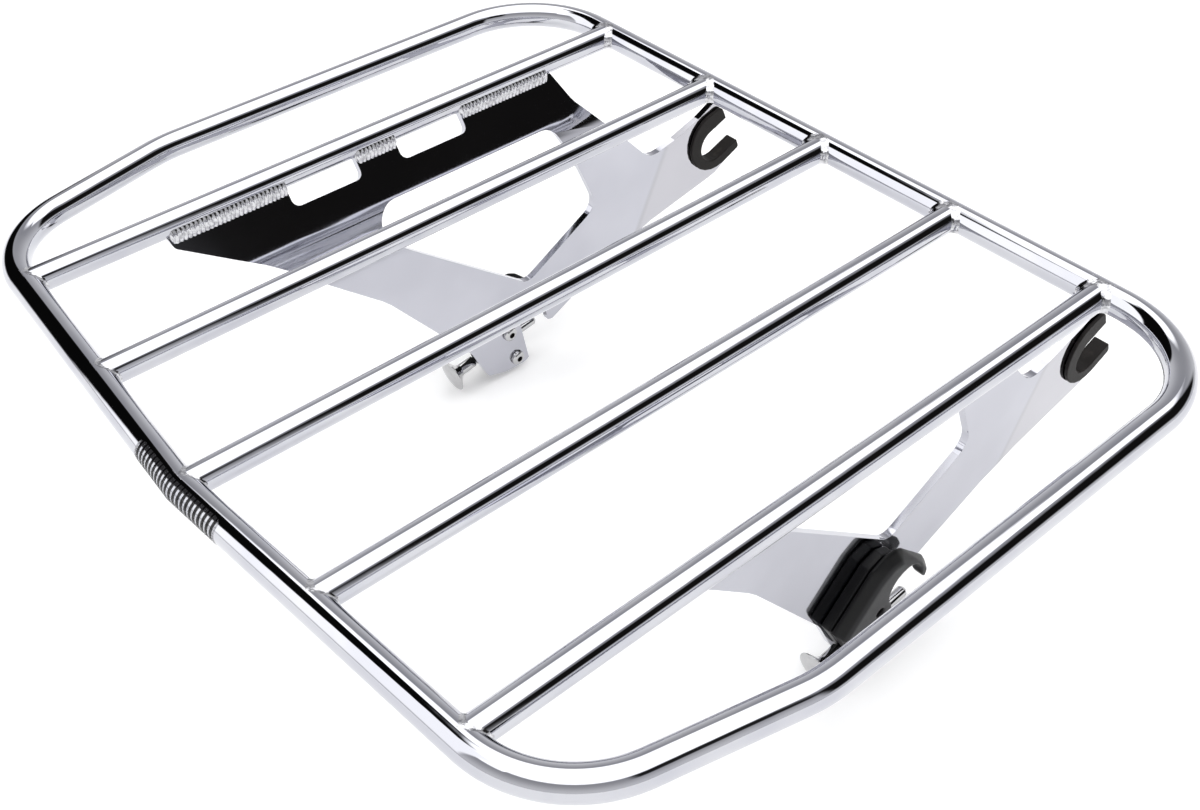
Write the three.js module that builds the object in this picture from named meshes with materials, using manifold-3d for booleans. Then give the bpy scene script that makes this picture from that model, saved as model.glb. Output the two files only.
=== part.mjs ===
// A detachable luggage rack: a bent perimeter rail with five slats, standing on two side brackets.
// Each bracket hooks on a front docking post and locks on a rear one with a sprung plunger.
// Millimetres. +X points forward, to the hooks, +Y to the left and +Z up. The origin is midway between
// the two rear docking posts.
import * as THREE from "three";
import { ConvexGeometry } from "three/addons/geometries/ConvexGeometry.js";
import { mergeVertices } from "three/addons/utils/BufferGeometryUtils.js";
import Module from "manifold-3d";

const wasm = await Module();
wasm.setup();

const DEGREE = Math.PI / 180;
const gap = 0.3; // left between two pieces that touch
const overlap = 0.05; // between two solids that are joined

// Deck: the rail and the slats, with their axes in one level plane.
const footDrop = 168.5; // from the slat axes to a bracket's foot
const deckLength = 359; // front rail axis to the rear rail's apex
const deckWidth = 449; // between the side rail axes
const railRadius = 6.7;
const slatRadius = 6.35;
const slatPitch = 81;
const slatCount = 5;
const frontCornerRadius = 52;
const rearCornerRadius = 50;
const rearSweep = 3.8 * DEGREE; // each half of the rear rail leans forward by this
const taperLength = 112; // the sides narrow over this length at the rear
const taperAngle = 13.7 * DEGREE;
const taperBendRadius = 70;
const tubeSides = 16;

// Side brackets: bent plate, welded under the outermost slats.
const bracketHalfSpan = 132.5; // from the middle to a side plate's inner face
const plateThickness = 4;
const flangeSlope = 55 * DEGREE;
const bendRadius = 64; // outside of the bend
const weldLeg = 7.3;
const flangeRear = -103; // from the deck's middle
const flangeFront = 129;
const flangeSlots = [
  [-37.5, 3],
  [27.5, 69],
];
const weldRuns = [
  [-101, -36.5],
  [3, 28.5],
  [68, 128],
];
const slotReach = 17; // from the slat's axis down the flange
const windowRear = -20.8;
const windowFront = 118;
const windowTop = -26;
const windowBottom = -113;
const legRearX = -4;
const legRearDrop = 79;
const foldAngle = 1 * DEGREE; // the front leg leans in from its fold line
const foldTilt = 25.5 * DEGREE; // the fold line leans forward by this

// Docking points in a bracket, from the deck's middle and below the slat axes.
const hookX = 234.5;
const hookDrop = 80;
const hookPostRadius = 10.6;
const hookAngle = 22 * DEGREE; // the hook's mouth points up and forward by this
const linerWall = 2;
const linerSideWall = 2;
const linerBowRadius = 19.6;
const notchX = 90.5;
const notchDrop = 134.5;
const notchRadius = 9.5;
const notchAngle = -80 * DEGREE; // the notch opens down and a little forward
const saddleRadius = 11.5;

// Latch: a housing on each bracket's outer face, and a plunger through it.
const partingDepth = 6.4; // from the plate's outer face to where the two halves meet
const housingDepth = 13.1;
const housingShoulder = 1.6; // from the parting face to where the outer half starts to slope
const plungerAngle = 9 * DEGREE;
const plungerX = 43.4; // where the knob's cone meets its shank
const plungerDrop = 159.3;
const pinRadius = 3;
const stemRadius = 2.4;
const collarRadius = 3.7;
const collarLength = 1.8;
const pinReach = 57; // from the same point to the pin's tip
const rearWallStart = 11;
const rearWall = 2.2;
const frontWallStart = 36;
const pocketRadius = 4;
const springWire = 0.7;
const springTurns = 4.5;
const knobRadius = 10;
const knobConeLength = 5.4;
const knobRim = 0.8;
const knobDome = 1.2;
const knobShankRadius = 3.4;
const screwRadius = 2.4;
const screwHeadRadius = 4.6;
const screwHeadHeight = 2.6;
const screwSocketRadius = 1.8;
const screwPlaces = [
  { name: "upper", x: 73.3, drop: 141.6, reach: 11, holeReach: 14 },
  { name: "lower", x: 77.6, drop: 161.8, reach: 8.4, holeReach: 8.7 },
];

const materials = {
  chrome: new THREE.MeshStandardMaterial({ color: 0xd9dadf, roughness: 0.06, metalness: 1 }),
  plate: new THREE.MeshStandardMaterial({ color: 0xc9cad2, roughness: 0.1, metalness: 1 }),
  weld: new THREE.MeshStandardMaterial({ color: 0xb9bac2, roughness: 0.3, metalness: 1 }),
  rubber: new THREE.MeshStandardMaterial({ color: 0x1b1817, roughness: 0.75, metalness: 0 }),
  moulding: new THREE.MeshStandardMaterial({ color: 0x101012, roughness: 0.45, metalness: 0 }),
  stainless: new THREE.MeshStandardMaterial({ color: 0xc4c0b8, roughness: 0.22, metalness: 1 }),
  spring: new THREE.MeshStandardMaterial({ color: 0x8c8d90, roughness: 0.35, metalness: 1 }),
};

// Solids.

function solidOf(geometry) {
  const bare = geometry.clone();
  bare.deleteAttribute("normal");
  bare.deleteAttribute("uv");
  const merged = mergeVertices(bare, 1e-4);
  const triVerts = merged.index.array;
  const vertProperties = merged.attributes.position.array;
  return new wasm.Manifold(new wasm.Mesh({ numProp: 3, vertProperties, triVerts }));
}

function geometryOf(solid) {
  const mesh = solid.getMesh();
  const geometry = new THREE.BufferGeometry();
  geometry.setAttribute("position", new THREE.BufferAttribute(mesh.vertProperties, 3));
  geometry.setIndex(new THREE.BufferAttribute(mesh.triVerts, 1));
  geometry.computeVertexNormals();
  return geometry;
}

// A closed outline from corners { x, y, r }, each rounded by its radius r.
function roundedPoints(corners, closed = true) {
  const points = [];
  corners.forEach((corner, i) => {
    if (!closed && (i === 0 || i === corners.length - 1)) {
      points.push(new THREE.Vector2(corner.x, corner.y));
      return;
    }
    const before = corners[(i + corners.length - 1) % corners.length];
    const after = corners[(i + 1) % corners.length];
    points.push(...cornerArc(before, corner, after));
  });
  return points;
}

function cornerArc(before, corner, after) {
  const tip = new THREE.Vector2(corner.x, corner.y);
  if (!corner.r) return [tip];
  const back = new THREE.Vector2(before.x, before.y).sub(tip).normalize();
  const on = new THREE.Vector2(after.x, after.y).sub(tip).normalize();
  const half = Math.acos(THREE.MathUtils.clamp(back.dot(on), -1, 1)) / 2;
  const centre = tip.clone().addScaledVector(back.clone().add(on).normalize(), corner.r / Math.sin(half));
  const start = tip.clone().addScaledVector(back, corner.r / Math.tan(half)).sub(centre).angle();
  const end = tip.clone().addScaledVector(on, corner.r / Math.tan(half)).sub(centre).angle();
  const turn = THREE.MathUtils.euclideanModulo(end - start + Math.PI, 2 * Math.PI) - Math.PI;
  const steps = Math.max(1, Math.round(Math.abs(turn) / (15 * DEGREE)));
  return Array.from({ length: steps + 1 }, (_, k) => {
    const angle = start + (turn * k) / steps;
    return new THREE.Vector2(Math.cos(angle), Math.sin(angle)).multiplyScalar(corner.r).add(centre);
  });
}

// Points on an arc about a centre, from one angle to another.
function arcPoints(x, y, radius, from, to, steps) {
  return Array.from({ length: steps + 1 }, (_, k) => {
    const angle = from + ((to - from) * k) / steps;
    return new THREE.Vector2(x + radius * Math.cos(angle), y + radius * Math.sin(angle));
  });
}

// A tube's axis, as straight steps between given points.
class BentAxis extends THREE.Curve {
  constructor(points) {
    super();
    this.points = points;
  }
  getSpacedPoints() {
    return this.points;
  }
  getTangentAt(u) {
    const i = Math.round(u * (this.points.length - 1));
    const before = this.points[Math.max(i - 1, 0)];
    const after = this.points[Math.min(i + 1, this.points.length - 1)];
    const here = this.points[i];
    const leave = after.clone().sub(here).normalize();
    return here.clone().sub(before).normalize().add(leave).normalize();
  }
}

function tubeAlong(points, radius, sides) {
  const section = new THREE.Shape().absarc(0, 0, radius, 0, 2 * Math.PI);
  const extrudePath = new BentAxis(points);
  return new THREE.ExtrudeGeometry(section, { steps: points.length - 1, curveSegments: sides, extrudePath });
}

function rodAlongX(radius, from, to, sides) {
  const rod = new THREE.CylinderGeometry(radius, radius, to - from, sides);
  return rod.rotateZ(-Math.PI / 2).translate((from + to) / 2, 0, 0);
}

// A shape drawn in X and Z, given a thickness along Y from yFrom to yTo.
function slab(points, yFrom, yTo) {
  const geometry = new THREE.ExtrudeGeometry(new THREE.Shape(points), {
    depth: yTo - yFrom,
    bevelEnabled: false,
    curveSegments: 1,
  });
  return geometry.rotateX(Math.PI / 2).translate(0, yTo, 0);
}

// A shape drawn in Y and Z, run along X.
function bar(points, xFrom, xTo) {
  const geometry = new THREE.ExtrudeGeometry(new THREE.Shape(points), {
    depth: xTo - xFrom,
    bevelEnabled: false,
    curveSegments: 1,
  });
  return geometry.rotateY(Math.PI / 2).rotateX(Math.PI / 2).translate(xFrom, 0, 0);
}

// A turned piece whose axis is +X, from a profile of [x, radius] pairs.
function turned(profile, sides) {
  const points = profile.map(([x, radius]) => new THREE.Vector2(radius, x));
  return new THREE.LatheGeometry(points, sides).rotateZ(-Math.PI / 2);
}

function place(parent, name, geometry, material, position = [0, 0, 0]) {
  const mesh = new THREE.Mesh(geometry, material.clone());
  mesh.name = name;
  mesh.position.set(...position);
  parent.add(mesh);
  return mesh;
}

// The deck.

const railFront = deckLength / 2;
const railRear = -deckLength / 2;
const halfWidth = deckWidth / 2;
const taperX = railRear + taperLength;

// Half of the rail's axis, from the front's middle round one side to the rear's apex.
function halfRailAxis(side) {
  const cornerY =
    (halfWidth - Math.tan(taperAngle) * taperLength) / (1 - Math.tan(taperAngle) * Math.tan(rearSweep));
  const half = roundedPoints(
    [
      { x: railFront, y: -overlap },
      { x: railFront, y: halfWidth, r: frontCornerRadius },
      { x: taperX, y: halfWidth, r: taperBendRadius },
      { x: railRear + cornerY * Math.tan(rearSweep), y: cornerY, r: rearCornerRadius },
      { x: railRear - overlap * Math.tan(rearSweep), y: -overlap },
    ],
    false,
  );
  return half.map((p) => new THREE.Vector3(p.x, side * p.y, 0));
}

function railSolid(radius) {
  const halves = [1, -1].map((side) => solidOf(tubeAlong(halfRailAxis(side), radius, tubeSides)));
  return halves[0].add(halves[1]);
}

const railClearance = railSolid(railRadius + gap);

function slatGeometry(y) {
  const rear = railRear + Math.abs(y) * Math.tan(rearSweep);
  const rod = solidOf(rodAlongX(slatRadius, rear, railFront, tubeSides).translate(0, y, 0));
  return geometryOf(rod.subtract(railClearance)).translate(0, -y, 0);
}

// The brackets, drawn for the left side and mirrored for the right.

const plateInner = bracketHalfSpan;
const plateOuter = bracketHalfSpan + plateThickness;
const outerSlatY = (slatPitch * (slatCount - 1)) / 2;
// How far the flange's top face, carried on down, is below the slat axes at the side plate's inner face.
const flangeTopDrop =
  (outerSlatY - plateInner) * Math.tan(flangeSlope) - plateThickness / 2 / Math.cos(flangeSlope);
const bendY = plateInner + bendRadius;
const bendZ =
  (bendRadius * Math.sin(flangeSlope) - bendRadius) / Math.cos(flangeSlope) - flangeTopDrop;
const bracketBottom = -footDrop;

// A point on a line parallel to the flange's top face, at y and this far under the top face.
function onFlange(y, depth) {
  const topZ = (y - plateInner) * Math.tan(flangeSlope) - flangeTopDrop;
  return new THREE.Vector2(y + depth * Math.sin(flangeSlope), topZ - depth * Math.cos(flangeSlope));
}

// The section of the bent plate, in Y and Z, grown outwards by a clearance on every face.
function plateSection(clearance) {
  const top = Math.PI / 2 + flangeSlope;
  const reach = outerSlatY - slatRadius / 2;
  const convex = bendRadius + clearance;
  const concave = bendRadius - plateThickness - clearance;
  return [
    new THREE.Vector2(plateInner - clearance, bracketBottom),
    ...arcPoints(bendY, bendZ, convex, Math.PI, top, 5),
    onFlange(reach, -clearance),
    onFlange(reach, plateThickness + clearance),
    ...arcPoints(bendY, bendZ, concave, top, Math.PI, 5),
    new THREE.Vector2(plateOuter + clearance, bracketBottom),
  ];
}

// A point in the hook's own axes: along its mouth, and across it towards the upper arm.
function hookPoint(along, across, r) {
  return {
    x: hookX + along * Math.cos(hookAngle) - across * Math.sin(hookAngle),
    y: -hookDrop + along * Math.sin(hookAngle) + across * Math.cos(hookAngle),
    r,
  };
}

const upperArm = 13.5;
const lowerArm = 15.5;
const upperArmWidth = 25;
const lowerArmWidth = 17;
const plateSlotRadius = hookPostRadius + linerWall + gap;

// The bracket's side view, before the window, the hook's slot and the notch are cut.
const blankOutline = roundedPoints([
  { x: flangeRear, y: 0 },
  { x: flangeRear + 2, y: -8.6, r: 3 },
  { x: flangeRear + 45, y: -32, r: 60 },
  { x: legRearX, y: -legRearDrop, r: 40 },
  { x: notchX - 45.5, y: -notchDrop - 6, r: 20 },
  { x: notchX - 34, y: -notchDrop - 30.3, r: 3 },
  { x: notchX - 21, y: bracketBottom, r: 10 },
  { x: notchX - 3, y: bracketBottom, r: 6 },
  { x: notchX, y: -notchDrop - 8 },
  { x: notchX + 15, y: -notchDrop - 13, r: 2.5 },
  { x: notchX + 31, y: -notchDrop - 5, r: 30 },
  { x: hookX - 62.5, y: -hookDrop - 36.4, r: 120 },
  { x: hookX + 3.5, y: -hookDrop - 22.2, r: 20 },
  hookPoint(lowerArm, -lowerArmWidth, 1.5),
  hookPoint(lowerArm, 0),
  hookPoint(upperArm, 0),
  hookPoint(upperArm, upperArmWidth, 3),
  hookPoint(-2, upperArmWidth - 1, 20),
  { x: hookX - 31.5, y: -hookDrop + 14.5, r: 15 },
  { x: hookX - 50.5, y: -hookDrop + 10, r: 14 },
  { x: flangeFront + 9, y: -19, r: 10 },
  { x: flangeFront, y: 0 },
]);

const windowOutline = roundedPoints([
  { x: windowRear, y: windowTop, r: 12 },
  { x: windowFront, y: windowTop, r: 10 },
  { x: windowFront + 11, y: windowTop - 25, r: 60 },
  { x: windowFront + 24.5, y: windowTop - 57.5, r: 10 },
  { x: windowFront - 29, y: windowBottom, r: 9 },
]);

const slatClearance = solidOf(
  rodAlongX(slatRadius + gap, railRear, railFront, 2 * tubeSides).translate(0, outerSlatY, 0),
);

function rodAcross(radius, x, z, yFrom, yTo, sides) {
  const rod = new THREE.CylinderGeometry(radius, radius, yTo - yFrom, sides);
  return solidOf(rod.translate(x, (yFrom + yTo) / 2, z));
}

// A round-ended cutter from a centre out along an angle.
function slotCutter(x, z, radius, angle, length, yFrom, yTo) {
  const centre = new THREE.Vector2(x, z);
  const round = arcPoints(x, z, radius, Math.PI / 2, 1.5 * Math.PI, 12);
  const ends = [-radius, radius].map((across) => new THREE.Vector2(x + length, z + across));
  const outline = [...round, ...ends].map((point) => point.rotateAround(centre, angle));
  return solidOf(slab(outline, yFrom, yTo));
}

// A slot square through the flange, open towards the slat.
function flangeSlotCutter(xFrom, xTo) {
  const outline = roundedPoints([
    { x: xFrom, y: -slotReach, r: 4 },
    { x: xTo, y: -slotReach, r: 4 },
    { x: xTo, y: slatRadius },
    { x: xFrom, y: slatRadius },
  ]);
  const depth = 2 * plateThickness;
  const cutter = new THREE.ExtrudeGeometry(new THREE.Shape(outline), { depth, bevelEnabled: false });
  return solidOf(cutter.translate(0, 0, -depth / 2).rotateX(flangeSlope).translate(0, outerSlatY, 0));
}

// The front leg is bent a little inwards from its fold line: a shear in Y beyond that line.
const foldMatrix = new THREE.Matrix4();
const foldNormal = new THREE.Vector2(Math.cos(foldTilt), -Math.sin(foldTilt));
const foldPoint = new THREE.Vector2(hookX - 49.1, -hookDrop - 11.6);
foldMatrix.elements[1] = -Math.tan(foldAngle) * foldNormal.x;
foldMatrix.elements[9] = -Math.tan(foldAngle) * foldNormal.y;
foldMatrix.elements[13] = Math.tan(foldAngle) * foldNormal.dot(foldPoint);

// Everything in front of the fold line, pulled back by a small overlap.
function aheadOfFold(backset) {
  const along = new THREE.Vector2(-foldNormal.y, foldNormal.x).multiplyScalar(deckLength);
  const start = foldPoint.clone().addScaledVector(foldNormal, -backset);
  const ahead = foldNormal.clone().multiplyScalar(deckLength);
  const corners = [start.clone().sub(along), start.clone().add(along)];
  const outline = [corners[0], corners[0].clone().add(ahead), corners[1].clone().add(ahead), corners[1]];
  return solidOf(slab(outline, plateInner - plateThickness, outerSlatY));
}

function bracketGeometry() {
  const sheet = solidOf(bar(plateSection(0), flangeRear, hookX + hookDrop));
  const cutters = [
    solidOf(slab(windowOutline, 0, outerSlatY)),
    slotCutter(hookX, -hookDrop, plateSlotRadius, hookAngle, hookDrop, 0, outerSlatY),
    slotCutter(notchX, -notchDrop, notchRadius, notchAngle, notchDrop, 0, outerSlatY),
    ...flangeSlots.map(([from, to]) => flangeSlotCutter(from, to)),
    ...screwPlaces.map(({ x, drop }) => rodAcross(screwRadius + gap, x, -drop, 0, outerSlatY, 12)),
    slatClearance,
  ];
  const flat = cutters.reduce(
    (solid, cutter) => solid.subtract(cutter),
    sheet.intersect(solidOf(slab(blankOutline, 0, outerSlatY + slatRadius))),
  );
  const leg = geometryOf(flat.intersect(aheadOfFold(0.05))).applyMatrix4(foldMatrix);
  return geometryOf(flat.subtract(aheadOfFold(0)).add(solidOf(leg)));
}

function weldGeometry(xFrom, xTo) {
  const root = new THREE.Vector2(outerSlatY - slatRadius / 2, 0);
  root.y = onFlange(root.x, 0).y;
  const foot = onFlange(root.x - weldLeg * Math.cos(flangeSlope), 0);
  const toe = new THREE.Vector2(outerSlatY - slatRadius, -slatRadius / 6);
  const crown = foot.clone().lerp(toe, 0.5).add(new THREE.Vector2(-0.9, 0.3));
  const below = onFlange(foot.x, 1);
  const run = solidOf(bar([root, toe, crown, foot, below], xFrom, xTo));
  return geometryOf(run.subtract(slatClearance).subtract(solidOf(bar(plateSection(gap), xFrom - 1, xTo + 1))));
}

const bowAlong = 1.6;
const bowAcross = 2.2;

// The hook's liner: a channel over the edge of the plate's slot, drawn in the hook's own axes.
function linerGeometry() {
  const yFrom = plateInner - gap - linerSideWall;
  const yTo = plateOuter + gap + linerSideWall;
  const bow = arcPoints(bowAlong, bowAcross, linerBowRadius, Math.PI / 2, 1.5 * Math.PI, 12);
  const arms = roundedPoints(
    [
      { x: bowAlong, y: bowAcross - linerBowRadius },
      { x: lowerArm + 0.5, y: -lowerArmWidth + 0.3, r: 2 },
      { x: lowerArm + 0.5, y: 0 },
      { x: upperArm + 0.5, y: 0 },
      { x: upperArm + 0.5, y: upperArmWidth - 4.5, r: 4 },
      { x: bowAlong, y: bowAcross + linerBowRadius },
    ],
    false,
  );
  const outline = [...bow, ...arms.slice(1, -1)].map((p) => {
    const point = hookPoint(p.x, p.y);
    return new THREE.Vector2(point.x, point.y);
  });
  const plateSpace = solidOf(slab(outline, plateInner - gap, plateOuter + gap)).subtract(
    slotCutter(hookX, -hookDrop, hookPostRadius + linerWall, hookAngle, hookDrop, 0, outerSlatY),
  );
  const post = slotCutter(hookX, -hookDrop, hookPostRadius, hookAngle, hookDrop, 0, outerSlatY);
  return geometryOf(solidOf(slab(outline, yFrom, yTo)).subtract(plateSpace).subtract(post)).applyMatrix4(foldMatrix);
}

// The latch. Its housing is drawn from the notch's centre.

const partingY = plateOuter + partingDepth;
const plungerPlace = new THREE.Matrix4()
  .makeRotationY(-plungerAngle)
  .setPosition(plungerX, partingY, -plungerDrop);

const atNotch = ([x, z]) => new THREE.Vector2(notchX + x, z - notchDrop);

// The way out for the post below the seat and round the hooked arm's tip.
const mouthOutline = [
  [-9.1, -1],
  [-1.3, -footDrop],
  [hookX - notchX, -footDrop],
  [hookX - notchX, -3],
  [19.4, -3.2],
  [13.8, -4.9],
  [11.4, -1],
].map(atNotch);

function housingSpace() {
  const rearWallEnd = rearWallStart + rearWall;
  const bores = [
    rodAlongX(stemRadius + gap, rearWallStart - collarRadius, rearWallEnd + 1, 16),
    rodAlongX(pocketRadius, rearWallEnd, frontWallStart, 16),
    rodAlongX(pinRadius + gap, frontWallStart - 1, pinReach, 16),
  ].map((bore) => solidOf(bore.applyMatrix4(plungerPlace)));
  const holes = screwPlaces.map(({ x, drop, holeReach }) =>
    rodAcross(screwRadius + gap, x, -drop, plateInner, plateOuter + holeReach, 12),
  );
  const seat = rodAcross(saddleRadius, notchX, -notchDrop, plateInner, outerSlatY, 32);
  const mouth = solidOf(slab(mouthOutline, plateInner, outerSlatY));
  return [seat, mouth, ...bores, ...holes].reduce((solid, piece) => solid.add(piece));
}

const latchSpace = housingSpace();

// A block with flat faces at given depths, each with its own outline about the notch's centre.
function block(faces) {
  const corners = faces.flatMap(({ y, outline }) =>
    outline.map(atNotch).map((p) => new THREE.Vector3(p.x, y, p.y)),
  );
  return solidOf(new ConvexGeometry(corners));
}

const housingRearEnd = [
  [-32.5, -29],
  [-45.5, -4.5],
];

function housingInnerGeometry() {
  const outline = [...housingRearEnd, [-22, 21], [-13, 24], [-4.5, 20.5], [-4.2, -26.5], [-8.5, -31.5]];
  const faces = [plateOuter + gap, partingY - gap / 2].map((y) => ({ y, outline }));
  return geometryOf(block(faces).subtract(latchSpace));
}

function housingOuterGeometry() {
  const outline = [
    ...housingRearEnd,
    [-22, 21],
    [-13, 25],
    [-6, 24.5],
    [-1.7, 22.4],
    [16.5, 4.8],
    [19.6, -1],
    [18.6, -5.5],
    [-3.5, -27],
    [-8, -31.5],
  ];
  const outerFace = [
    [-31.5, -27.5],
    [-40.5, -10],
    [-19.5, 13.5],
    [-11, 18.5],
    [-5, 18],
    [11, 6.8],
    [15.4, -0.5],
    [14.6, -4.8],
    [-6, -24],
    [-9.5, -29.5],
  ];
  const parting = partingY + gap / 2;
  const faces = [
    { y: parting, outline },
    { y: parting + housingShoulder, outline },
    { y: plateOuter + housingDepth, outline: outerFace },
  ];
  return geometryOf(block(faces).subtract(latchSpace));
}

const collarEnd = frontWallStart - gap;
const collarStart = collarEnd - collarLength;

const stemEnd = -knobConeLength / 2;

function pinGeometry() {
  const profile = [
    [stemEnd + gap, 0],
    [stemEnd + gap, stemRadius],
    [collarStart, stemRadius],
    [collarStart, collarRadius],
    [collarEnd, collarRadius],
    [collarEnd, pinRadius],
    [pinReach - pinRadius / 2, pinRadius],
    [pinReach, pinRadius / 2],
    [pinReach, 0],
  ];
  return turned(profile, 16);
}

function knobGeometry() {
  const rimStart = -knobConeLength - knobRim;
  const shankEnd = rearWallStart - 4 * gap;
  const profile = [
    [rimStart - knobDome, 0],
    [rimStart - knobDome * 0.7, knobRadius * 0.55],
    [rimStart, knobRadius - 0.4],
    [rimStart + knobRim / 2, knobRadius],
    [-knobConeLength, knobRadius - 0.4],
    [0, knobShankRadius],
    [shankEnd, knobShankRadius],
    [shankEnd, stemRadius + gap],
    [stemEnd, stemRadius + gap],
    [stemEnd, 0],
  ];
  return turned(profile, 24);
}

function springGeometry() {
  const start = rearWallStart + rearWall + gap + springWire / 2;
  const length = collarStart - gap - springWire / 2 - start;
  const radius = pocketRadius - gap - springWire / 2;
  const steps = Math.round(springTurns * 14);
  const helix = Array.from({ length: steps + 1 }, (_, k) => {
    const angle = (2 * Math.PI * springTurns * k) / steps;
    return new THREE.Vector3(start + (length * k) / steps, radius * Math.cos(angle), radius * Math.sin(angle));
  });
  return tubeAlong(helix, springWire / 2, 6);
}

// A screw along +Y from its head, drawn about its own axis.
function screwGeometry(reach) {
  const profile = [
    [-screwHeadHeight, 0],
    [-screwHeadHeight, screwHeadRadius * 0.6],
    [-screwHeadHeight * 0.6, screwHeadRadius * 0.92],
    [0, screwHeadRadius],
    [0, screwRadius],
    [plateThickness + gap + reach, screwRadius],
    [plateThickness + gap + reach, 0],
  ];
  const socket = new THREE.CylinderGeometry(screwSocketRadius, screwSocketRadius, screwHeadHeight, 6);
  socket.translate(0, -screwHeadHeight, 0);
  const screw = solidOf(turned(profile, 18).rotateZ(Math.PI / 2));
  return geometryOf(screw.subtract(solidOf(socket)));
}

// Assembly.

// A copy for one side: the left as drawn, the right mirrored in Y.
function sided(geometry, side) {
  if (side > 0) return geometry;
  const copy = geometry.index ? geometry.clone() : mergeVertices(geometry, 1e-4);
  copy.applyMatrix4(new THREE.Matrix4().makeScale(1, -1, 1));
  const index = Array.from(copy.index.array);
  for (let i = 0; i < index.length; i += 3) {
    [index[i + 1], index[i + 2]] = [index[i + 2], index[i + 1]];
  }
  copy.setIndex(index);
  copy.computeVertexNormals();
  return copy;
}

const luggageRack = new THREE.Group();
luggageRack.name = "luggage_rack";

const deck = new THREE.Group();
deck.name = "deck";
luggageRack.add(deck);

place(deck, "perimeter_rail", geometryOf(railSolid(railRadius)), materials.chrome);

const slatNames = ["slat_right_outer", "slat_right_inner", "slat_middle", "slat_left_inner", "slat_left_outer"];
slatNames.slice(0, slatCount).forEach((name, i) => {
  const y = (i - (slatCount - 1) / 2) * slatPitch;
  place(deck, name, slatGeometry(y), materials.chrome, [0, y, 0]);
});

for (const [sideName, side] of Object.entries({ left: 1, right: -1 })) {
  const group = new THREE.Group();
  group.name = `${sideName}_side`;
  luggageRack.add(group);

  place(group, `${sideName}_bracket`, sided(bracketGeometry(), side), materials.plate);
  weldRuns.forEach(([from, to], i) => {
    const name = `${sideName}_weld_${["rear", "middle", "front"][i]}`;
    place(group, name, sided(weldGeometry(from, to), side), materials.weld);
  });
  place(group, `${sideName}_hook_liner`, sided(linerGeometry(), side), materials.rubber);
  place(group, `${sideName}_housing_inner`, sided(housingInnerGeometry(), side), materials.moulding);
  place(group, `${sideName}_housing_outer`, sided(housingOuterGeometry(), side), materials.moulding);
  for (const { name, x, drop, reach } of screwPlaces) {
    const position = [x, side * (plateInner - gap), -drop];
    place(group, `${sideName}_screw_${name}`, sided(screwGeometry(reach), side), materials.stainless, position);
  }

  const plunger = new THREE.Group();
  plunger.name = `${sideName}_plunger`;
  plunger.position.set(plungerX, side * partingY, -plungerDrop);
  plunger.rotation.y = -plungerAngle;
  group.add(plunger);
  place(plunger, `${sideName}_lock_pin`, sided(pinGeometry(), side), materials.stainless);
  place(plunger, `${sideName}_knob`, sided(knobGeometry(), side), materials.stainless);
  place(plunger, `${sideName}_spring`, sided(springGeometry(), side), materials.spring);
}

// The origin is midway between the two rear docking posts' centres.
for (const group of luggageRack.children) {
  group.position.set(-notchX, 0, notchDrop);
}

export default luggageRack;
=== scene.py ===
# A detachable luggage rack: a bent chrome rail with five slats, on two plates that hook over a pair of
# front docking posts and lock on a rear pair with sprung plungers. Metres, +X forward, +Z up.
import math

import bmesh
import bpy
from mathutils import Matrix, Vector


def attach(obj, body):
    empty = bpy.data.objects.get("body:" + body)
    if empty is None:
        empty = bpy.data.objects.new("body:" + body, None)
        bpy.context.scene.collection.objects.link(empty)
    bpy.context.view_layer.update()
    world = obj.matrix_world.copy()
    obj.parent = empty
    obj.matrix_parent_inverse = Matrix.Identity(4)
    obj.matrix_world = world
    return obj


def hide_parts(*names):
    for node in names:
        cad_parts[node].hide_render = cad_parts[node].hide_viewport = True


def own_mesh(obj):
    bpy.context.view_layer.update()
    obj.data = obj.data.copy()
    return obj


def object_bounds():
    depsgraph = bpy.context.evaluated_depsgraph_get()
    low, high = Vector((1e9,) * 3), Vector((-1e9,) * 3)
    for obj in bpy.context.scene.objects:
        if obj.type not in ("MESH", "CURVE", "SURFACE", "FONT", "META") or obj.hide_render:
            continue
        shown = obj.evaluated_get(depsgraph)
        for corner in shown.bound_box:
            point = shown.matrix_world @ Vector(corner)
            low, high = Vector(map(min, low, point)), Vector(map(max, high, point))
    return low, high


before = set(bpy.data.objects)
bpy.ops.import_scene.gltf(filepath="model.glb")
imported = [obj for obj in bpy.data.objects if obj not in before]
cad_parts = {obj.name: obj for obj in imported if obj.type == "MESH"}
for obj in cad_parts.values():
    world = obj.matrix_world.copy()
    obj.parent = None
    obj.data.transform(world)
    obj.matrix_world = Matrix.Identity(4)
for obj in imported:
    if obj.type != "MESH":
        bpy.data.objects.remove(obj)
cad_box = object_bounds()

MM = 0.001
NOTCH_X = 90.5  # the rear posts, ahead of the deck's middle
NOTCH_DROP = 134.5  # and below the slat axes
SIDES = {"left": 1, "right": -1}


def deck(x, y, z):
    """A point given in millimetres from the deck's middle, at the height of the slat axes."""
    return Vector(((x - NOTCH_X) * MM, y * MM, (z + NOTCH_DROP) * MM))


# Nodes.


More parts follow.
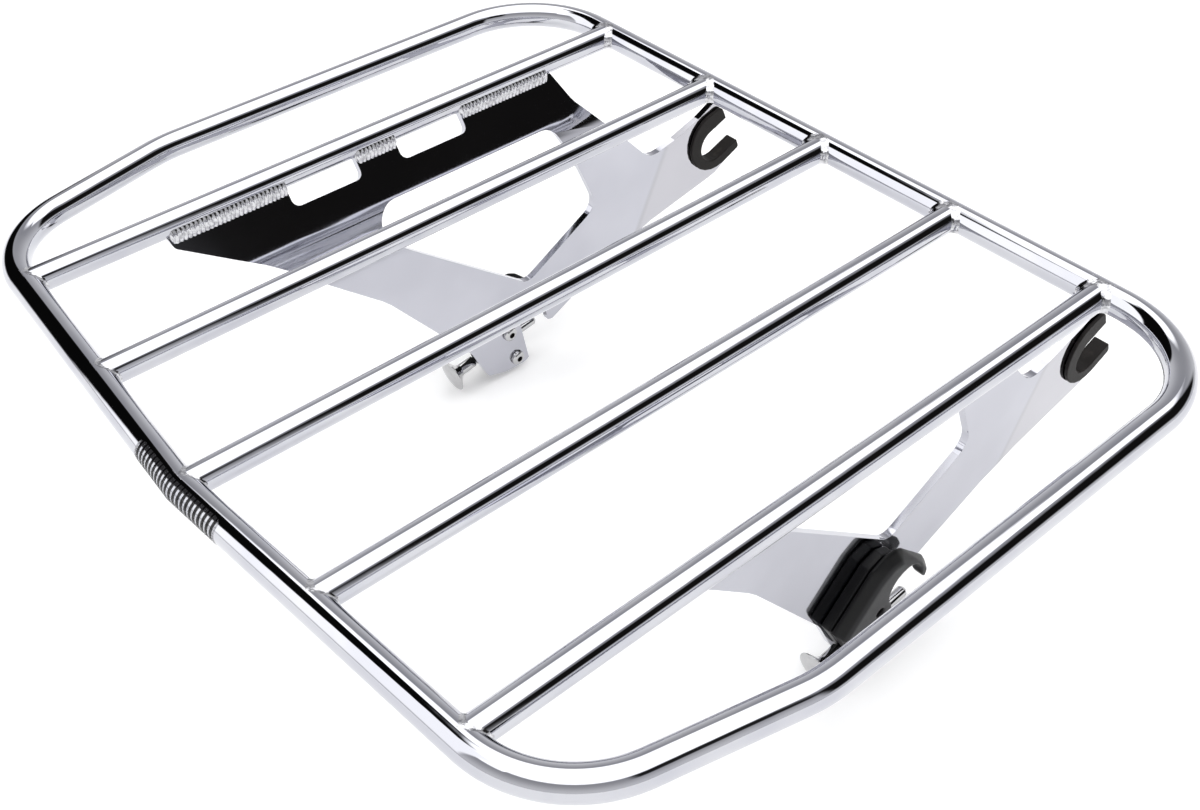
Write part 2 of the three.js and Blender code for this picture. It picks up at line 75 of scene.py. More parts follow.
class Wire:
    """A node's output, with arithmetic that adds Math nodes."""

    def __init__(self, maker, socket):
        self.maker = maker
        self.socket = socket

    def _maths(self, operation, first, second=0.0):
        return self.maker.add("ShaderNodeMath", {"operation": operation}, {0: first, 1: second})

    def __add__(self, other):
        return self._maths("ADD", self, other)

    def __radd__(self, other):
        return self._maths("ADD", other, self)

    def __sub__(self, other):
        return self._maths("SUBTRACT", self, other)

    def __rsub__(self, other):
        return self._maths("SUBTRACT", other, self)

    def __mul__(self, other):
        return self._maths("MULTIPLY", self, other)

    def __abs__(self):
        return self._maths("ABSOLUTE", self)

    def above(self, low, high):
        """0 below low, 1 above high, and smooth between them."""
        settings = {"interpolation_type": "SMOOTHSTEP"}
        return self.maker.add("ShaderNodeMapRange", settings, {0: self, 1: low, 2: high})


class Maker:
    """Adds nodes to one node tree."""

    def __init__(self, tree):
        self.tree = tree
        tree.nodes.clear()

    def add(self, kind, settings=None, sockets=None, output=0):
        node = self.tree.nodes.new(kind)
        for key, value in (settings or {}).items():
            if key == "stops":
                self._set_stops(node.color_ramp, value)
            else:
                setattr(node, key, value)
        for key, value in (sockets or {}).items():
            if isinstance(value, Wire):
                self.tree.links.new(value.socket, node.inputs[key])
            else:
                node.inputs[key].default_value = value
        return Wire(self, node.outputs[output]) if node.outputs else None

    def _set_stops(self, ramp, stops):
        for spare in list(ramp.elements)[1:]:
            ramp.elements.remove(spare)
        for i, (position, colour) in enumerate(stops):
            stop = ramp.elements[0] if i == 0 else ramp.elements.new(position)
            stop.position = position
            stop.color = (*colour, 1)

    def blend(self, first, second, factor):
        """A colour between two, at a factor that may vary."""
        first = first if isinstance(first, Wire) else (*first, 1)
        second = second if isinstance(second, Wire) else (*second, 1)
        return self.add("ShaderNodeMix", {"data_type": "RGBA"}, {0: factor, 6: first, 7: second}, 2)

    def place(self):
        return self.add("ShaderNodeTexCoord", output=3)

    def axis(self, vector, name):
        return self.add("ShaderNodeSeparateXYZ", sockets={0: vector}, output="XYZ".index(name))

    def noise(self, vector, scale, detail=2.0):
        return self.add("ShaderNodeTexNoise", None, {"Vector": vector, "Scale": scale, "Detail": detail})

    def stretched(self, vector, scale):
        return self.add("ShaderNodeMapping", None, {"Vector": vector, "Scale": scale})

    def bump(self, height, strength, distance):
        sockets = {"Height": height, "Strength": strength, "Distance": distance}
        return self.add("ShaderNodeBump", None, sockets)


def finish(name, build, **constants):
    """A material whose surface comes from build, which returns the sockets that vary."""
    material = bpy.data.materials.new(name)
    material.use_nodes = True
    maker = Maker(material.node_tree)
    surface = maker.add("ShaderNodeBsdfPrincipled", None, {**constants, **build(maker)})
    maker.add("ShaderNodeOutputMaterial", None, {"Surface": surface})
    return material


# The materials. Colours are linear, lengths are metres.

CHROME_LIGHT = (0.56, 0.565, 0.60)
CHROME_DEEP = (0.51, 0.515, 0.56)
PLATE_LIGHT = (0.52, 0.523, 0.57)
PLATE_DEEP = (0.48, 0.483, 0.53)


def polished(m):
    """Polished chrome: faint waves from the buffing wheel, and a little haze."""
    place = m.place()
    haze = m.noise(place, 35.0)
    waves = m.noise(place, 90.0, 1.0)
    return {
        "Base Color": m.blend(CHROME_DEEP, CHROME_LIGHT, haze.above(0.35, 0.65)),
        "Roughness": 0.02 + haze * 0.045,
        "Normal": m.bump(waves, 0.35, 0.00012),
    }


FOLD_TILT = math.radians(25.5)  # of the fold line, from upright
FOLD_POINT = deck(185.4, 0, -91.6)
CREASE_HALF_WIDTH = 0.003


def plated(m):
    """Chromed plate: wavier than tube, with a painted reflection that makes it a little warmer beyond its
    fold, and a painted shade line on the fold.
    """
    place = m.place()
    x, z = (m.axis(place, name) for name in "XZ")
    haze = m.noise(place, 22.0)
    waves = m.noise(place, 30.0, 1.0)
    ahead = (x - FOLD_POINT.x) * math.cos(FOLD_TILT) - (z - FOLD_POINT.z) * math.sin(FOLD_TILT)
    # Painted reflection: the leg beyond the fold is tinted warmer in place of the different reflection
    # that its slight bend would catch.
    leg = ahead.above(-CREASE_HALF_WIDTH / 2, CREASE_HALF_WIDTH / 2)
    # Painted shade: a soft dark line along the fold, standing in for the shade in its crease.
    painted_crease_shade = 1 - abs(ahead).above(0.0, CREASE_HALF_WIDTH)
    tone = m.blend(PLATE_DEEP, PLATE_LIGHT, haze.above(0.3, 0.7))
    tone = m.blend(tone, (0.50, 0.49, 0.51), leg * 0.5)
    tone = m.blend(tone, (0.38, 0.38, 0.40), painted_crease_shade * 0.4)
    return {
        "Base Color": tone,
        "Roughness": 0.035 + haze * 0.05,
        "Normal": m.bump(waves, 0.25, 0.0002),
    }


def beaded(m):
    """Weld metal under chrome: bright, uneven and a little rough."""
    place = m.place()
    grain = m.noise(place, 600.0, 2.0)
    return {
        "Base Color": m.blend((0.40, 0.40, 0.42), (0.64, 0.64, 0.66), grain.above(0.35, 0.6)),
        "Roughness": 0.08 + grain * 0.12,
        "Normal": m.bump(grain, 0.3, 0.0003),
    }


def rubbery(m):
    """Moulded rubber with a fine matt skin and paler scuffs."""
    place = m.place()
    skin = m.noise(place, 2600.0, 3.0)
    scuff = m.noise(place, 140.0, 4.0).above(0.55, 0.75)
    return {
        "Base Color": m.blend((0.0075, 0.0058, 0.0052), (0.018, 0.0145, 0.013), scuff),
        "Roughness": 0.42 + skin * 0.22,
        "Normal": m.bump(skin, 0.25, 0.0002),
    }


OUTER_FACE_Y = 0.1496  # of the latch housings


def moulded_finish(m):
    """Black nylon with a fine satin grain, a little paler on its outer face."""
    place = m.place()
    grain = m.noise(place, 3200.0, 2.0)
    cloud = m.noise(place, 120.0)
    # Paler over the whole outer face of each housing.
    outer_face_pale = abs(m.axis(place, "Y")).above(OUTER_FACE_Y - 0.0018, OUTER_FACE_Y - 0.0006)
    black = m.blend((0.0015, 0.0015, 0.0018), (0.004, 0.004, 0.0045), cloud)
    return {
        "Base Color": m.blend(black, (0.019, 0.019, 0.0205), outer_face_pale),
        "Roughness": 0.33 + cloud * 0.12,
        "Normal": m.bump(grain, 0.18, 0.00012),
    }


def machined(m):
    """Polished stainless, with faint turning marks."""
    place = m.place()
    marks = m.noise(m.stretched(place, (9.0, 1.0, 1.0)), 420.0, 1.0)
    return {
        "Base Color": m.blend((0.44, 0.44, 0.45), (0.56, 0.558, 0.56), marks),
        "Roughness": 0.03 + marks * 0.05,
        "Normal": m.bump(marks, 0.06, 0.0001),
    }


SCREW_PLACES = {"upper": deck(73.3, 0, -141.6), "lower": deck(77.6, 0, -161.8)}
SOCKET_RADIUS = 0.0018


def socketed(m):
    """The screws' stainless, with painted shade darkening the sockets."""
    surface = machined(m)
    flat = m.add("ShaderNodeVectorMath", {"operation": "MULTIPLY"}, {0: m.place(), 1: (1, 0, 1)})
    colour = surface["Base Color"]
    for centre in SCREW_PLACES.values():
        away = m.add("ShaderNodeVectorMath", {"operation": "DISTANCE"}, {0: flat, 1: centre}, 1)
        # Painted shade: a dark disc where each socket's recess falls into shade.
        socket = 1 - away.above(SOCKET_RADIUS - 0.0001, SOCKET_RADIUS + 0.0001)
        colour = m.blend(colour, (0.02, 0.017, 0.016), socket)
    return {**surface, "Base Color": colour}


def drawn_wire(m):
    """Spring wire, dull from the drawing die."""
    marks = m.noise(m.place(), 800.0)
    return {
        "Base Color": m.blend((0.30, 0.30, 0.31), (0.48, 0.48, 0.49), marks),
        "Roughness": 0.22 + marks * 0.15,
    }


FILM_SPAN = (-32, 28)  # across the rack, on the rear rail
FILM_RIB_PITCH = 0.0028
FILM_EDGE = 0.0006


def clear_film(m):
    """A clear film with fine dark ribs across it and a pale edge at each end."""
    place = m.place()
    along = m.axis(place, "Y")
    ribs = m.add("ShaderNodeMath", {"operation": "SINE"}, {0: along * (2 * math.pi / FILM_RIB_PITCH)})
    rib = ribs.above(-0.2, 0.6)
    middle = sum(FILM_SPAN) / 2 * MM
    half = (FILM_SPAN[1] - FILM_SPAN[0]) / 2 * MM
    end = abs(along - middle).above(half - 2 * FILM_EDGE, half - FILM_EDGE)
    ribbed = m.blend((0.16, 0.16, 0.17), (0.002, 0.002, 0.0025), rib)
    return {
        "Base Color": m.blend(ribbed, (0.5, 0.5, 0.52), end),
        "Alpha": 0.06 + rib * 0.78 + end * 0.3,
        "Roughness": 0.05 + rib * 0.06,
    }


MATERIALS = {
    "chrome": finish("polished_chrome", polished, Metallic=1.0),
    "plate": finish("chromed_plate", plated, Metallic=1.0),
    "weld": finish("chromed_weld", beaded, Metallic=1.0),
    "rubber": finish("black_rubber", rubbery, **{"Specular IOR Level": 0.18}),
    "moulding": finish("black_nylon", moulded_finish, **{"Specular IOR Level": 0.2}),
    "stainless": finish("polished_stainless", machined, Metallic=1.0),
    "screw": finish("socketed_stainless", socketed, Metallic=1.0),
    "spring": finish("drawn_wire", drawn_wire, Metallic=1.0),
    "film": finish("clear_film", clear_film, **{"Specular IOR Level": 0.25}),
}


# Shapes.


def new_piece(name, bm, finish_name, body="rack", smooth_angle=40):
    """Makes an object of a bmesh and puts it on its body."""
    bmesh.ops.remove_doubles(bm, verts=bm.verts, dist=1e-6)
    bmesh.ops.recalc_face_normals(bm, faces=bm.faces)
    for face in bm.faces:
        face.smooth = True
    for edge in bm.edges:
        edge.smooth = len(edge.link_faces) == 2 and edge.calc_face_angle(0) < math.radians(smooth_angle)
    mesh = bpy.data.meshes.new(name)
    bm.to_mesh(mesh)
    bm.free()
    mesh.materials.append(MATERIALS[finish_name])
    piece = bpy.data.objects.new(name, mesh)
    bpy.context.collection.objects.link(piece)
    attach(piece, body)
    return piece


def open_edges(bm):
    return [edge for edge in bm.edges if len(edge.link_faces) <= 1]


def start_ring(bm, centre, normal, radius, sides):
    """An open circle of edges about a centre, in the plane across normal."""
    turn = Vector(normal).to_track_quat("Z", "Y").to_matrix().to_4x4()
    matrix = Matrix.Translation(centre) @ turn
    ring = bmesh.ops.create_circle(bm, segments=sides, radius=radius, matrix=matrix)
    return list({edge for vert in ring["verts"] for edge in vert.link_edges})


def run_on(bm, edges, step):
    """Lengthens an open tube by a vector."""
    made = bmesh.ops.extrude_edge_only(bm, edges=edges)["geom"]
    verts = [item for item in made if isinstance(item, bmesh.types.BMVert)]
    bmesh.ops.translate(bm, verts=verts, vec=step)
    return [item for item in made if isinstance(item, bmesh.types.BMEdge)]


def bend_on(bm, edges, centre, angle, steps, axis=(0, 0, 1)):
    """Bends an open tube round a centre."""
    made = bmesh.ops.spin(bm, geom=edges, cent=centre, axis=axis, angle=angle, steps=steps)["geom_last"]
    return [item for item in made if isinstance(item, bmesh.types.BMEdge)]


def loft(bm, rings, capped=True):
    """A skin over closed rings of points, each ring with the same count."""
    loops = []
    for ring in rings:
        verts = [bm.verts.new(point) for point in ring]
        loops.append([bm.edges.new((verts[i - 1], verts[i])) for i in range(len(verts))])
    for before, after in zip(loops, loops[1:]):
        bmesh.ops.bridge_loops(bm, edges=before + after)
    if capped:
        for loop in (loops[0], loops[-1]):
            bmesh.ops.contextual_create(bm, geom=loop)


def turned(bm, profile, sides=40):
    """Spins a profile of (distance, radius) pairs, in millimetres, about +X."""
    verts = [bm.verts.new((along * MM, 0, radius * MM)) for along, radius in profile]
    edges = [bm.edges.new(pair) for pair in zip(verts, verts[1:])]
    bmesh.ops.spin(
        bm,
        geom=verts + edges,
        cent=(0, 0, 0),
        axis=(1, 0, 0),
        angle=2 * math.pi,
        steps=sides,
        use_merge=True,
    )
    bmesh.ops.remove_doubles(bm, verts=bm.verts, dist=2e-6)


def eased(corners, radius, steps=4):
    """A profile with its inner corners rounded off, each a little, for turned pieces."""
    points = [corners[0]]
    for before, tip, after in zip(corners, corners[1:], corners[2:]):
        tip = Vector(tip)
        back = Vector(before) - tip
        on = Vector(after) - tip
        reach = min(radius, back.length * 0.45, on.length * 0.45)
        start = tip + back.normalized() * reach
        end = tip + on.normalized() * reach
        for k in range(steps + 1):
            t = k / steps
            points.append(tuple(start * (1 - t) ** 2 + tip * 2 * t * (1 - t) + end * t * t))
    return [*points, corners[-1]]


# The rail.

RAIL_FRONT = 179.5
RAIL_REAR = -179.5
HALF_WIDTH = 224.5
RAIL_RADIUS = 6.7
FRONT_CORNER = 52
REAR_CORNER = 50
TAPER_BEND = 70
TAPER_LENGTH = 112
TAPER_ANGLE = math.radians(13.7)
REAR_SWEEP = math.radians(3.8)
TUBE_SIDES = 56


def perimeter_rail():
    bm = bmesh.new()
    taper_x = RAIL_REAR + TAPER_LENGTH
    sweep = math.tan(REAR_SWEEP)
    corner_y = (HALF_WIDTH - math.tan(TAPER_ANGLE) * TAPER_LENGTH) / (1 - math.tan(TAPER_ANGLE) * sweep)
    corners = [
        (Vector((RAIL_FRONT, HALF_WIDTH)), FRONT_CORNER),
        (Vector((taper_x, HALF_WIDTH)), TAPER_BEND),
        (Vector((RAIL_REAR + corner_y * sweep, corner_y)), REAR_CORNER),
    ]
    here = Vector((RAIL_FRONT, 0))
    edges = start_ring(bm, deck(*here, 0), (0, 1, 0), RAIL_RADIUS * MM, TUBE_SIDES)
    targets = [point for point, _ in corners] + [Vector((RAIL_REAR, 0))]
    for i, (corner, radius) in enumerate(corners):
        heading = (corner - here).normalized()
        leaving = (targets[i + 1] - corner).normalized()
        angle = heading.angle(leaving)
        reach = radius * math.tan(angle / 2)
        bend_start = corner - heading * reach
        step = (bend_start - here) * MM
        edges = run_on(bm, edges, (step.x, step.y, 0))
        centre = bend_start + Vector((-heading.y, heading.x)) * radius
        edges = bend_on(bm, edges, deck(*centre, 0), angle, max(4, round(math.degrees(angle) / 3)))
        here = corner + leaving * reach
    past_apex = (targets[-1] - here) * 1.1 * MM
    run_on(bm, edges, (past_apex.x, past_apex.y, 0))
    whole = list(bm.verts) + list(bm.edges) + list(bm.faces)
    bmesh.ops.bisect_plane(bm, geom=whole, plane_co=(0, 0, 0), plane_no=(0, -1, 0), clear_outer=True)
    whole = list(bm.verts) + list(bm.edges) + list(bm.faces)
    bmesh.ops.mirror(bm, geom=whole, axis="Y", merge_dist=1e-6)
    piece = new_piece("perimeter_rail_tube", bm, "chrome")
    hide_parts("perimeter_rail")


FILM_LIFT = 0.1  # off the rail's skin
FILM_THICKNESS = 0.12
FILM_CORNER = 3.0
FILM_WRAP = (math.radians(16), math.radians(140))  # turned rearwards from straight up
FILM_ROWS = 24
FILM_COLUMNS = 40


def rail_film():
    """The clear film wrapped over the rear rail, with rounded corners."""
    bm = bmesh.new()
    radius = RAIL_RADIUS + FILM_LIFT
    top, bottom = FILM_WRAP
    width = (bottom - top) * radius
    middle = sum(FILM_SPAN) / 2
    half = (FILM_SPAN[1] - FILM_SPAN[0]) / 2
    rows = []
    for i in range(FILM_ROWS + 1):
        t = i / FILM_ROWS
        past = max(0.0, abs(t - 0.5) * width - (width / 2 - FILM_CORNER))
        reach = half - FILM_CORNER + math.sqrt(max(0.0, FILM_CORNER**2 - past**2))
        turn = top + (bottom - top) * t
        row = []
        for k in range(FILM_COLUMNS + 1):
            y = middle + reach * (2 * k / FILM_COLUMNS - 1)
            x = RAIL_REAR + abs(y) * math.tan(REAR_SWEEP) - radius * math.sin(turn)
            row.append(bm.verts.new(deck(x, y, radius * math.cos(turn))))
        rows.append(row)
    for upper, lower in zip(rows, rows[1:]):
        for k in range(FILM_COLUMNS):
            bm.faces.new((upper[k], upper[k + 1], lower[k + 1], lower[k]))
    piece = new_piece("rail_film", bm, "film")
    skin = piece.modifiers.new("skin", "SOLIDIFY")
    skin.thickness = FILM_THICKNESS * MM
    skin.offset = 1


# The slats, and the weld round each end.

SLAT_RADIUS = 6.35
SLAT_PITCH = 81
SLAT_NAMES = ["slat_right_outer", "slat_right_inner", "slat_middle", "slat_left_inner", "slat_left_outer"]


def slat_tube(name, y):
    bm = bmesh.new()
    rear = RAIL_REAR + abs(y) * math.tan(REAR_SWEEP)
    start = deck(rear, y, 0)
    length = (RAIL_FRONT - rear) * MM
    matrix = Matrix.Translation(start + Vector((length / 2, 0, 0))) @ Matrix.Rotation(math.pi / 2, 4, "Y")
    radius = SLAT_RADIUS * MM
    bmesh.ops.create_cone(
        bm, cap_ends=True, segments=TUBE_SIDES, radius1=radius, radius2=radius, depth=length, matrix=matrix
    )
    piece = new_piece(f"{name}_tube", bm, "chrome")
    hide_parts(name)


FRONT_WELD_LEG = 4.0
REAR_WELD_LEG = 2.4
END_WELD_ROWS = 8
END_WELD_SIDES = 64
END_WELD_BITE = 0.25  # into the rail's skin


def end_weld(name, y, at_front):
    """A fillet from the slat's skin to the rail's, with the slow ripple of the torch."""
    bm = bmesh.new()
    along = -1 if at_front else 1
    lean = 0 if at_front else math.copysign(math.tan(REAR_SWEEP), y) * (y != 0)
    rail_x = RAIL_FRONT if at_front else RAIL_REAR + abs(y) * math.tan(REAR_SWEEP)
    leg = FRONT_WELD_LEG if at_front else REAR_WELD_LEG
    rings = []
    for k in range(END_WELD_ROWS + 1):
        t = k / END_WELD_ROWS
        ring = []
        for i in range(END_WELD_SIDES):
            angle = 2 * math.pi * i / END_WELD_SIDES
            ripple = 0.16 * math.sin(9 * angle + y) + 0.09 * math.sin(17 * angle - 4 * t + 2 * y)
            size = leg * (1 + 0.08 * math.sin(2 * angle + y)) + ripple
            corner = 1 - 0.62 * abs(math.cos(angle)) ** 3
            spread = size * corner * (1 - math.sin(t * math.pi / 2))
            reach = SLAT_RADIUS - 0.12 + spread
            across = reach * math.sin(angle)
            up = max(-RAIL_RADIUS, min(RAIL_RADIUS, reach * math.cos(angle)))
            skin = math.sqrt(RAIL_RADIUS**2 - up**2)
            stand = size * (1 - math.cos(t * math.pi / 2)) - END_WELD_BITE * (1 - t)
            ring.append(deck(rail_x + along * (skin + stand) + lean * across, y + across, up))
        rings.append(ring)
    # Back inside the metal, so that the fillet is a closed ring.
    for ring, depth, pull in ((rings[-1], 0.6, 0.22), (rings[0], 0.3, 0.25)):
        core = deck(rail_x + along * RAIL_RADIUS * depth, y, 0)
        rings.append([point.lerp(core, pull) for point in ring])
    rings.append(rings[0])
    loft(bm, rings, capped=False)
    piece = new_piece(name, bm, "weld", smooth_angle=75)


def deck_pieces():
    perimeter_rail()
    rail_film()
    for i, name in enumerate(SLAT_NAMES):
        y = (i - 2) * SLAT_PITCH
        slat_tube(name, y)
        end_weld(f"{name}_front_weld", y, True)
        end_weld(f"{name}_rear_weld", y, False)


# The brackets and the beads that hold them to the outermost slats.


def merged_copy(node):
    """The node's mesh with its loose triangles joined and its flat faces whole."""
    bm = bmesh.new()
    bm.from_mesh(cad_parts[node].data)
    bmesh.ops.remove_doubles(bm, verts=bm.verts, dist=2e-6)
    bmesh.ops.dissolve_limit(bm, angle_limit=math.radians(0.6), verts=bm.verts, edges=bm.edges)
    return bm


EDGE_BREAK = 0.45
SCREW_EDGE_BREAK = 0.18


def break_edges(piece, width, over):
    """Takes the sharpness off edges that turn by more than an angle, in degrees."""
    edge_break = piece.modifiers.new("edge_break", "BEVEL")
    edge_break.width = width * MM
    edge_break.segments = 2
    edge_break.limit_method = "ANGLE"
    edge_break.angle_limit = math.radians(over)


def bracket_plate(side_name):
    bm = merged_copy(f"{side_name}_bracket")
    piece = new_piece(f"{side_name}_bracket_plate", bm, "plate", smooth_angle=35)
    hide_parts(f"{side_name}_bracket")
    break_edges(piece, EDGE_BREAK, 50)
    level = piece.modifiers.new("flat_faces", "WEIGHTED_NORMAL")
    level.keep_sharp = True
    level.weight = 80


FLANGE_SLOPE = math.radians(55)
PLATE_THICKNESS = 4
OUTER_SLAT_Y = 162
WELD_RUNS = {"rear": (-101, -37), "middle": (3, 28), "front": (68.5, 128)}
WELD_PITCH = 2.3
WELD_LEG = 3.6  # along the flange, from its corner with the slat
WELD_WRAP = math.radians(38)  # round the slat's skin
WELD_LIFT = 0.05  # off the metal under it
WELD_STEPS = 6  # for each scallop
WELD_FACETS = 10  # across the bead


def weld_bead(side_name, run_name, start, end):
    """Overlapping scallops laid in the corner between the flange and the slat."""
    side = SIDES[side_name]
    down = Vector((-math.cos(FLANGE_SLOPE), -math.sin(FLANGE_SLOPE)))
    out = Vector((-math.sin(FLANGE_SLOPE), math.cos(FLANGE_SLOPE)))
    skin = SLAT_RADIUS + WELD_LIFT
    lift = PLATE_THICKNESS / 2 + WELD_LIFT
    corner_reach = math.sqrt(skin**2 - lift**2)
    corner_turn = math.atan2(lift, corner_reach)
    steps = round((end - start) / WELD_PITCH) * WELD_STEPS
    bm = bmesh.new()
    rings = []
    for k in range(steps + 1):
        along = start + (end - start) * k / steps
        taper = min(1.0, 0.45 + min(k, steps - k) / WELD_STEPS)
        ring = []
        for i in range(WELD_FACETS + 1):
            t = i / WELD_FACETS
            scallop = abs(math.sin(math.pi * (along / WELD_PITCH + 0.8 * (t - 0.5) ** 2)))
            foot = down * (corner_reach + (WELD_LEG + 0.55 * scallop) * taper) + out * lift
            turn = corner_turn + WELD_WRAP * (0.94 + 0.06 * scallop) * taper
            toe = (down * math.cos(turn) + out * math.sin(turn)) * skin
            bulge = math.sin(math.pi * t) * taper * (0.55 + 0.5 * scallop)
            point = foot.lerp(toe, t) + (foot - toe).normalized().orthogonal() * -bulge
            ring.append(point)
        for turn in (0.75, 0.5, 0.25):
            angle = corner_turn + WELD_WRAP * taper * turn
            ring.append((down * math.cos(angle) + out * math.sin(angle)) * skin)
        ring.append(down * corner_reach + out * lift)
        rings.append([deck(along, side * (OUTER_SLAT_Y + p.x), p.y) for p in ring])
    loft(bm, rings)
    piece = new_piece(f"{side_name}_bead_{run_name}", bm, "weld", smooth_angle=75)
    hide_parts(f"{side_name}_weld_{run_name}")


# The voxel size and the rounds of smoothing that leave each moulding's edges as round as its mould did.
HOUSING_EDGES = (0.42, 34)
LINER_EDGES = (0.3, 14)


def rounded_moulding(name, node, finish_name, voxel, rounds):
    """A copy of a node with its sharp edges worn round."""
    bm = merged_copy(node)
    piece = new_piece(name, bm, finish_name)
    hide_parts(node)
    skin = piece.modifiers.new("skin", "REMESH")
    skin.mode = "VOXEL"
    skin.voxel_size = voxel * MM
    skin.use_smooth_shade = True
    soften = piece.modifiers.new("soften", "SMOOTH")
    soften.factor = 0.5
    soften.iterations = rounds
    return piece


# The plungers.

PLUNGER_ANGLE = math.radians(9)
PLUNGER_X = 43.4
PLUNGER_DROP = 159.3
PLUNGER_Y = 142.9
SPRING_START = 13.5  # from the same point as the profiles below
SPRING_END = 33.6
SPRING_TURNS = 4.5
WIRE_RADIUS = 0.35
COIL_RADIUS = 3.35


def plunger_place(side):
    start = deck(PLUNGER_X, side * PLUNGER_Y, -PLUNGER_DROP)
    return Matrix.Translation(start) @ Matrix.Rotation(-PLUNGER_ANGLE, 4, "Y")


def plunger_piece(side_name, kind, corners, radius):
    bm = bmesh.new()
    turned(bm, eased(corners, radius))
    bmesh.ops.transform(bm, matrix=plunger_place(SIDES[side_name]), verts=bm.verts)
    piece = new_piece(f"{side_name}_{kind}_turned", bm, "stainless", f"{side_name}_plunger", 60)
    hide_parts(f"{side_name}_{kind}")


def spring_coil(side_name):
    side = SIDES[side_name]
    steps = round(SPRING_TURNS * 28)
    bm = bmesh.new()
    start = Vector((SPRING_START + WIRE_RADIUS, 0, COIL_RADIUS)) * MM
    edges = start_ring(bm, start, (0, 1, 0), WIRE_RADIUS * MM, 10)
    rise = (SPRING_END - SPRING_START - 2 * WIRE_RADIUS) / steps * MM
    bmesh.ops.spin(
        bm,
        geom=edges,
        cent=(0, 0, 0),
        axis=(1, 0, 0),
        dvec=(rise, 0, 0),
        angle=2 * math.pi * SPRING_TURNS,
        steps=steps,
    )
    bmesh.ops.holes_fill(bm, edges=open_edges(bm), sides=12)
    bmesh.ops.transform(bm, matrix=plunger_place(side), verts=bm.verts)
    piece = new_piece(f"{side_name}_spring_coil", bm, "spring")
    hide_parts(f"{side_name}_spring")
    along = Vector((math.cos(PLUNGER_ANGLE), 0, math.sin(PLUNGER_ANGLE)))
    anchor = deck(PLUNGER_X, side * PLUNGER_Y, -PLUNGER_DROP) + along * SPRING_START * MM
    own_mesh(piece)


# Profiles: the distance from where the knob's cone meets its shank, and the radius there.
PIN_PROFILE = [
    (-2.4, 0),
    (-2.4, 2.4),
    (33.9, 2.4),
    (33.9, 3.7),
    (35.7, 3.7),
    (35.7, 3),
    (55.4, 3),
    (57, 1.6),
    (57, 0),
]
KNOB_PROFILE = [
    (-7.4, 0),
    (-7.25, 4),
    (-6.6, 8),
    (-6.1, 9.75),
    (-5.6, 10),
    (-5.25, 9.6),
    (-3.4, 7.0),
    (-1.4, 4.3),
    (0.4, 3.45),
    (9.8, 3.4),
    (9.8, 2.7),
    (-2.7, 2.7),
    (-2.7, 0),
]


def latch_pieces(side_name):
    for half in ("inner", "outer"):
        node = f"{side_name}_housing_{half}"
        rounded_moulding(f"{node}_shell", node, "moulding", *HOUSING_EDGES)
    rounded_moulding(f"{side_name}_hook_pad", f"{side_name}_hook_liner", "rubber", *LINER_EDGES)
    plunger_piece(side_name, "lock_pin", PIN_PROFILE, 0.3)
    plunger_piece(side_name, "knob", KNOB_PROFILE, 0.35)
    spring_coil(side_name)
    for place in SCREW_PLACES:
        node = f"{side_name}_screw_{place}"
        bm = merged_copy(node)
        piece = new_piece(f"{node}_button", bm, "screw")
        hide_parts(node)
        break_edges(piece, SCREW_EDGE_BREAK, 40)


deck_pieces()
for side_name in SIDES:
    bracket_plate(side_name)
    for run_name, (start, end) in WELD_RUNS.items():
        weld_bead(side_name, run_name, start, end)
    latch_pieces(side_name)


# The studio.

FLOOR_DROP = 0.002  # below the lowest knob
FLOOR_REACH = 6.0
FLOOR_GLOW = 0.22


def studio_floor():
    bm = bmesh.new()
    bmesh.ops.create_grid(bm, x_segments=8, y_segments=8, size=FLOOR_REACH)
    low = cad_box[0][2] - FLOOR_DROP
    bmesh.ops.translate(bm, verts=bm.verts, vec=(0, 0, low))
    mesh = bpy.data.meshes.new("floor")
    bm.to_mesh(mesh)
    bm.free()

    def pale(m):
        return {"Base Color": m.blend((0.9, 0.9, 0.9), (0.92, 0.92, 0.92), m.noise(m.place(), 2.0))}

    glow = {"Roughness": 0.9, "Emission Color": (1, 1, 1, 1), "Emission Strength": FLOOR_GLOW}
    mesh.materials.append(finish("pale_floor", pale, **glow))
    floor = bpy.data.objects.new("floor", mesh)
    bpy.context.collection.objects.link(floor)


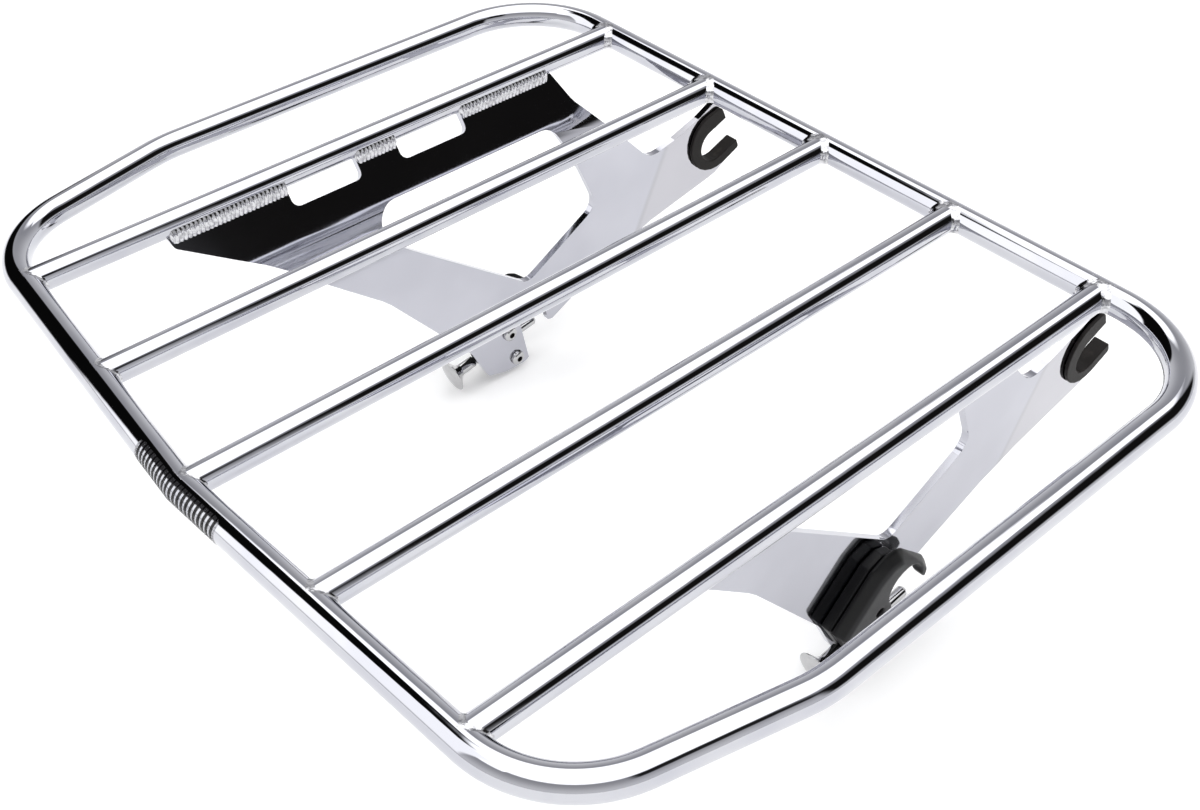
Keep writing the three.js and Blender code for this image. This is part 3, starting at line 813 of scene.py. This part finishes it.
def studio_light():
    """A broad soft box overhead, a pale room round it, and dark screens that give the chrome its bands."""
    world = bpy.data.worlds.new("studio")
    world.use_nodes = True
    bpy.context.scene.world = world
    m = Maker(world.node_tree)
    direction = m.add("ShaderNodeTexCoord", output=0)
    x, y, z = (m.axis(direction, name) for name in "XYZ")
    degrees = 180 / math.pi
    height = m.add("ShaderNodeMath", {"operation": "ARCSINE"}, {0: z}) * degrees
    bearing = m.add("ShaderNodeMath", {"operation": "ARCTAN2"}, {0: y, 1: x}) * degrees

    def between(angle, low, high, soft):
        return angle.above(low - soft, low + soft) * (1 - angle.above(high - soft, high + soft))

    def screen(start, end, soft, bottom, top, rise):
        """A patch between two bearings and two heights, in degrees, with soft sides and ends."""
        return between(bearing, start, end, soft) * between(height, bottom, top, rise)

    room = m.blend((0.85, 0.85, 0.86), (0.42, 0.42, 0.44), height.above(0, 45))
    right_band = screen(-72, -8, 4, 9, 40, 4)
    rear_right_band = screen(-98, -70, 5, 31, 62, 3)
    left_band = screen(76, 127, 2, 2, 62, 3)
    left_box = screen(127, 160, 2, 4, 62, 4)
    ahead = bearing.above(-22, -10) * (1 - bearing.above(14, 24))
    reach_down = ahead * 10 + bearing.above(14, 30) * 5
    overhead = (height + reach_down).above(46, 52) * (1 - left_band)
    straight_on = m.add("ShaderNodeLightPath")  # what shows past the floor's edge stays pale
    glow = room
    for patch, colour in (
        (right_band, (0.010, 0.0095, 0.009)),
        (rear_right_band, (0.02, 0.02, 0.02)),
        (overhead, (2.2, 2.2, 2.2)),
        (left_band, (0.004, 0.004, 0.004)),
        (left_box, (1.75, 1.75, 1.75)),
        (straight_on, (0.9, 0.9, 0.9)),
    ):
        glow = m.blend(glow, colour, patch)
    background = m.add("ShaderNodeBackground", None, {"Color": glow, "Strength": 1.0})
    m.add("ShaderNodeOutputWorld", None, {"Surface": background})


CAMERA_PLACE = Vector((-0.396874, -0.396408, 0.516636))
CAMERA_RIGHT = Vector((0.75409475, -0.65658582, -0.01536765))
CAMERA_UP = Vector((0.44680323, 0.49572687, 0.74472931))


def studio_camera():
    camera = bpy.data.cameras.new("camera")
    camera.lens = 42.82
    camera.sensor_width = 36
    camera.sensor_fit = "HORIZONTAL"
    camera.clip_start = 0.01
    holder = bpy.data.objects.new("camera", camera)
    back = CAMERA_RIGHT.cross(CAMERA_UP)
    turn = Matrix((CAMERA_RIGHT, CAMERA_UP, back)).transposed().to_4x4()
    holder.matrix_world = Matrix.Translation(CAMERA_PLACE) @ turn
    bpy.context.collection.objects.link(holder)
    bpy.context.scene.camera = holder


studio_floor()
studio_light()
studio_camera()
bpy.context.scene.view_settings.view_transform = "Standard"
